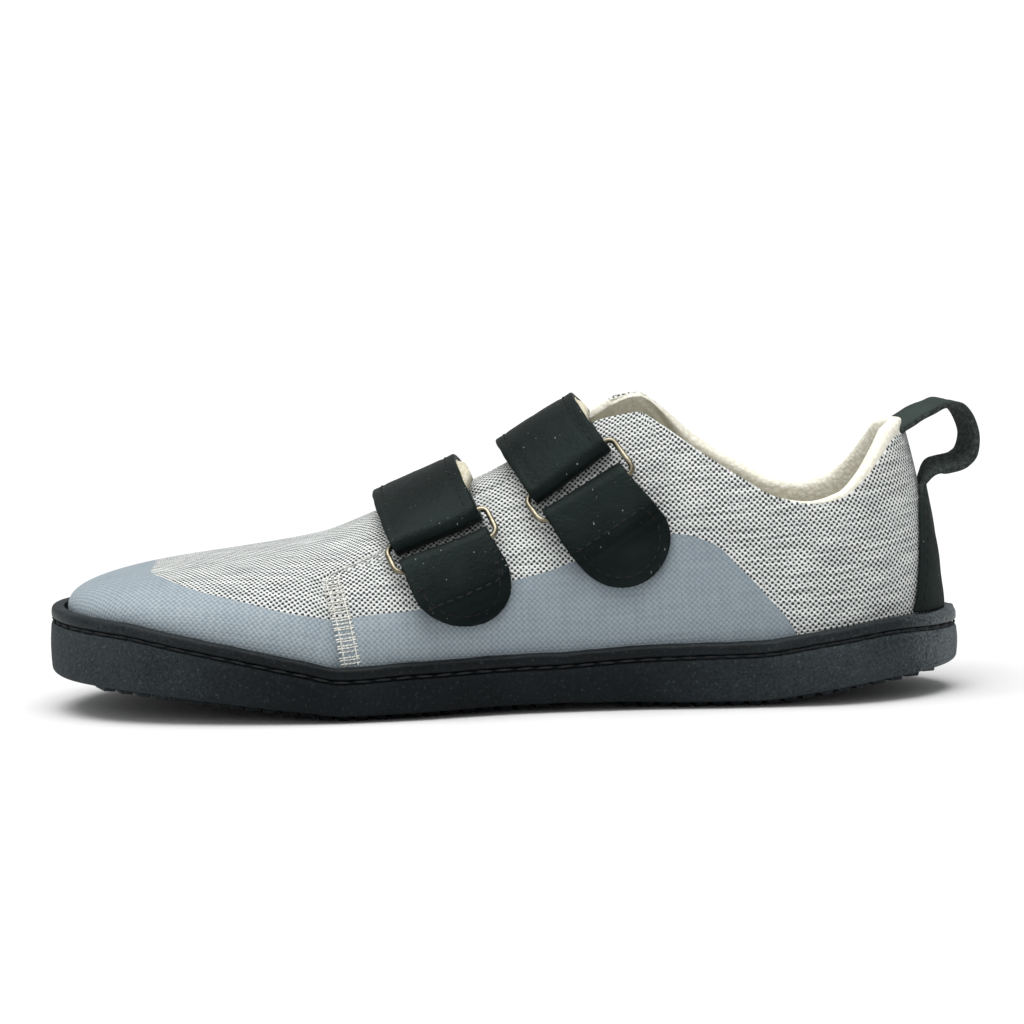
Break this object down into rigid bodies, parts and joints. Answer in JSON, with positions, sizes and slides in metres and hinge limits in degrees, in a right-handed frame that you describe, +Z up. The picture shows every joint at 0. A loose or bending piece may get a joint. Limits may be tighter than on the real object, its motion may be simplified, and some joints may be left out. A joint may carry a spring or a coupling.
{
  "type": "barefoot shoe",
  "caption": "Low flat right shoe with a canvas upper, wide toe box, thin ribbed rubber sole, ring and return straps over the instep and a heel pull loop.",
  "frame": {"origin": "on the ground under the middle of the shoe's bounding box", "axes": "+X from the toe to the heel, +Y towards the outer side of the foot, +Z up"},
  "size_m": [0.2108, 0.0862, 0.0686],
  "materials": {
    "sole_rubber": "matte, fine grain",
    "welt_rubber": "smooth, satin",
    "insole_textile": "soft, matte",
    "canvas": "plain weave, lower part coated",
    "tongue_textile": "plain weave",
    "nubuck": "nubuck, matte",
    "ring_metal": "antique, satin",
    "pad_textile": "looped pile"
  },
  "bodies": {
    "root": {"outsole": "sole_rubber", "welt": "welt_rubber", "insole": "insole_textile", "upper": "canvas", "tongue": "tongue_textile", "strap_front": "nubuck", "strap_pad_front": "pad_textile", "ring_tab_front": "nubuck", "ring_front": "ring_metal", "strap_rear": "nubuck", "strap_pad_rear": "pad_textile", "ring_tab_rear": "nubuck", "ring_rear": "ring_metal", "heel_pull_loop": "nubuck"}
  },
  "joints": []
}
